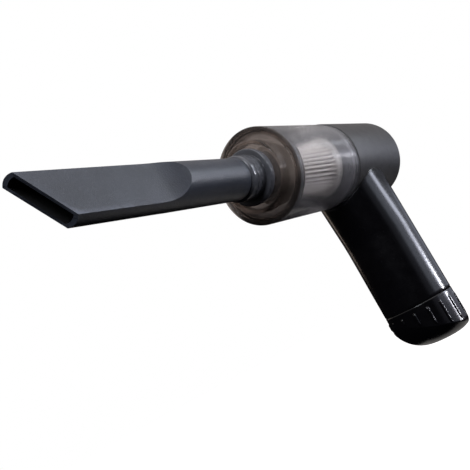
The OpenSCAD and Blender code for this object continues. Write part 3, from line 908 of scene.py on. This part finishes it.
def cap_column(angle, offset):
    """One line of the cap from the inner floor, over the skirt and wall, to the foot's centre."""
    line = [(0.0, CAP_FLOOR), (CAP_BORE_R - 1, CAP_FLOOR), (CAP_BORE_R, CAP_FLOOR + 1),
            (CAP_BORE_R, SKIRT_TOP), (SKIRT_R, SKIRT_TOP), (SKIRT_R, CAP_TOP),
            (HANDLE_R - CAP_EDGE, CAP_TOP), (HANDLE_R - CAP_CORNER, CAP_TOP - CAP_CORNER),
            (HANDLE_R, CAP_TOP - CAP_EDGE)]
    plain = len(line)
    high = CAP_TOP - CAP_EDGE
    low = min(cap_floor(HANDLE_R, angle), high - 0.1)
    rows = 26
    for k in range(1, rows + 1):
        line.append((HANDLE_R, high + (low - high) * k / rows))
    for k in range(1, 15):
        reach = HANDLE_R - BACK_ROUND + BACK_ROUND * math.cos(math.pi / 2 * k / 14)
        line.append((reach, min(cap_floor(reach, angle), low)))
    for k in range(1, 17):
        reach = (HANDLE_R - BACK_ROUND) * (1 - k / 16)
        line.append((reach, min(cap_floor(reach, angle), low)))
    c = math.cos(angle)
    s = math.sin(angle)
    points = []
    for i, (r, z) in enumerate(line):
        lift = rib_height(offset * r / HANDLE_R, z, low) if i >= plain else 0.0
        points.append(Vector(((r + lift) * c * MM, (r + lift) * s * MM, z * MM)))
    return points


def end_cap():
    """The cap, with its columns gathered where each rib's flanks are."""
    pitch = 2 * math.pi / RIBS
    stations = []
    for k in range(RIBS):
        for off in RIB_OFFSETS:
            for sign in ((1,) if off == 0 else (-1, 1)):
                stations.append((pitch * (k + 0.5) + sign * off / HANDLE_R, sign * off))
        stations.append((pitch * (k + 1), HANDLE_R * pitch / 2))
    stations.sort()
    bm = bmesh.new()
    add_loops(bm, [cap_column(angle, offset) for angle, offset in stations], True)
    piece_from(bm, "end_cap_skin", FINISH["handle_gloss"], "cap", ["end_cap"], 60)


# ---- inner parts that keep their CAD meshes ----

KEPT = {
    "seal_rubber": ["inlet_flap", "cover_seal", "cup_seal", "filter_gasket", "shroud_seal",
                    "motor_mount_rear", "cap_seal"],
    "filter_plastic": ["filter_cage"],
    "fan_plastic": ["fan_shroud", "motor_bracket"],
    "impeller_alloy": ["impeller"],
    "steel": ["flap_pin", "motor_shaft", "motor_bearings", "battery_links"],
    "motor_alloy": ["motor_can"],
    "foam": ["exhaust_foam"],
    "board_green": ["switch_board", "control_board"],
    "switch_plastic": ["tact_switch"],
    "cell_wrap": ["battery_cell_1", "battery_cell_2", "battery_cell_3"],
    "holder_plastic": ["battery_holder_upper", "battery_holder_lower"],
}


def finish_kept_nodes():
    """Gives each node that keeps its CAD mesh a finish."""
    for slot, names in KEPT.items():
        for name in names:
            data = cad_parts[name].data
            data.materials.clear()
            data.materials.append(FINISH[slot])


# ---- stage, lights and camera ----

FLOOR_Z = -0.24


def pale_floor():
    """A wide round floor, far enough below for the object to float clear of it."""
    bm = bmesh.new()
    turns = [2 * math.pi * k / 96 for k in range(96)]
    loops = []
    for r in (0.05, 0.6, 2, 8):
        loops.append([Vector((r * math.cos(a), r * math.sin(a), FLOOR_Z)) for a in turns])
    rings = add_loops(bm, loops, False)
    bm.faces.new(rings[0])
    floor = object_from(bm, "floor")
    mat, tree, shader, coord = new_finish("floor_white")
    white = ramp(tree, noise(tree, coord, 400), 0.3, (0.86, 0.86, 0.86), 0.7, (0.88, 0.88, 0.88))
    tree.links.new(white, shader.inputs["Base Color"])
    shader.inputs["Roughness"].default_value = 0.9
    shader.inputs["Emission Color"].default_value = (1, 1, 1, 1)
    shader.inputs["Emission Strength"].default_value = 0.72
    floor.data.materials.append(mat)
    floor.visible_diffuse = False
    floor.visible_glossy = False
    floor.visible_transmission = False


def studio_world():
    """White behind the object and seen through it; dim and rising with height as a light."""
    world = bpy.data.worlds.new("studio")
    bpy.context.scene.world = world
    world.use_nodes = True
    tree = world.node_tree
    tree.nodes.clear()
    output = tree.nodes.new("ShaderNodeOutputWorld")
    blend = tree.nodes.new("ShaderNodeMixShader")
    backdrop = tree.nodes.new("ShaderNodeBackground")
    backdrop.inputs["Color"].default_value = (1, 1, 1, 1)
    room = tree.nodes.new("ShaderNodeBackground")
    path = tree.nodes.new("ShaderNodeLightPath")
    direct = math_node(tree, "MAXIMUM", path.outputs["Is Camera Ray"],
                       path.outputs["Is Transmission Ray"])
    coord = tree.nodes.new("ShaderNodeTexCoord")
    split = tree.nodes.new("ShaderNodeSeparateXYZ")
    tree.links.new(coord.outputs["Generated"], split.inputs["Vector"])
    sky = ramp(tree, split.outputs["Z"], 0.1, (0.004, 0.004, 0.005), 0.8, (0.55, 0.52, 0.50))
    tree.links.new(sky, room.inputs["Color"])
    tree.links.new(direct, blend.inputs["Fac"])
    tree.links.new(room.outputs["Background"], blend.inputs[1])
    tree.links.new(backdrop.outputs["Background"], blend.inputs[2])
    tree.links.new(blend.outputs["Shader"], output.inputs["Surface"])


LIGHTS_AIM = Vector((-0.03, 0, 0.04))


def softbox(name, direction, distance, width, height, radiance, colour):
    """A soft area light of the given radiance, seen only in reflections and light."""
    data = bpy.data.lights.new(name, "AREA")
    data.shape = "RECTANGLE"
    data.size = width
    data.size_y = height
    data.energy = radiance * math.pi * width * height
    data.color = colour
    lamp = bpy.data.objects.new(name, data)
    bpy.context.scene.collection.objects.link(lamp)
    away = Vector(direction).normalized()
    lamp.location = LIGHTS_AIM + away * distance
    lamp.rotation_mode = "QUATERNION"
    lamp.rotation_quaternion = away.to_track_quat("Z", "Y")
    lamp.visible_camera = False
    lamp.visible_transmission = False


def lights():
    """Direction, distance, size, radiance and colour of each soft light."""
    softbox("key_wide", (-0.05, -1.0, 0.0), 3.0, 1.7, 1.0, 0.24, (0.78, 0.82, 1.0))
    softbox("key_mid", (0.24, -0.97, 0.03), 3.0, 1.2, 0.8, 1.7, (0.78, 0.84, 1.0))
    softbox("key_low", (0.61, -0.79, 0.05), 3.0, 0.80, 0.85, 9.4, (0.80, 0.84, 1.0))
    softbox("key_core", (0.65, -0.75, -0.12), 3.0, 0.26, 0.5, 84.0, (0.92, 0.93, 1.0))
    softbox("side_fill", (0.92, -0.40, 0.0), 3.0, 2.1, 0.8, 0.8, (0.78, 0.83, 1.0))
    softbox("tube_glint", (0.62, -0.71, 0.30), 3.0, 0.8, 0.34, 20.0, (0.84, 0.91, 1.0))
    softbox("top", (0.15, -0.55, 0.82), 1.0, 0.9, 0.9, 1.1, (0.93, 0.95, 1.0))
    softbox("front_high", (-0.79, -0.33, 0.52), 0.9, 0.34, 0.26, 12.0, (0.86, 0.91, 1.0))
    softbox("left_strip", (0.35, 0.94, 0.20), 1.0, 0.10, 0.4, 1.6, (1.0, 0.82, 0.70))
    softbox("below", (0.65, 0.10, -0.65), 1.0, 1.0, 0.7, 0.4, (1.0, 0.96, 0.92))


EYE = Vector((-0.411334, -0.192710, -0.003698))
EYE_RIGHT = Vector((0.599357, -0.652886, -0.46315))
EYE_AHEAD = Vector((0.784984, 0.592684, 0.180362))
FOCAL_LENGTH = 45.525


def camera():
    """A camera low at the object's front left, looking up a little."""
    ahead = EYE_AHEAD.normalized()
    up = EYE_RIGHT.normalized().cross(ahead).normalized()
    right = ahead.cross(up)
    data = bpy.data.cameras.new("camera")
    data.lens = FOCAL_LENGTH
    data.sensor_width = 36.0
    data.clip_start = 0.01
    data.clip_end = 40
    cam = bpy.data.objects.new("camera", data)
    bpy.context.scene.collection.objects.link(cam)
    turn = Matrix((right, up, -ahead)).transposed()
    cam.matrix_world = Matrix.Translation(EYE) @ turn.to_4x4()
    bpy.context.scene.camera = cam


camera()
crevice_nozzle()
inlet_neck()
front_cover()
dust_cup()
filter_media()
filter_ends()
bulkhead()
motor_housing()
handle_shell()
power_button()
end_cap()
softened("rear_cover", FINISH["housing_grey"], "root", 0.3)
softened("rear_screws", FINISH["steel"], "root", 0.12)
softened("charge_port", FINISH["socket_steel"], "root", 0.08)
softened("status_lens", FINISH["lens_white"], "root", 0.25)
finish_kept_nodes()
pale_floor()
studio_world()
lights()
bpy.context.scene.view_settings.view_transform = "Standard"
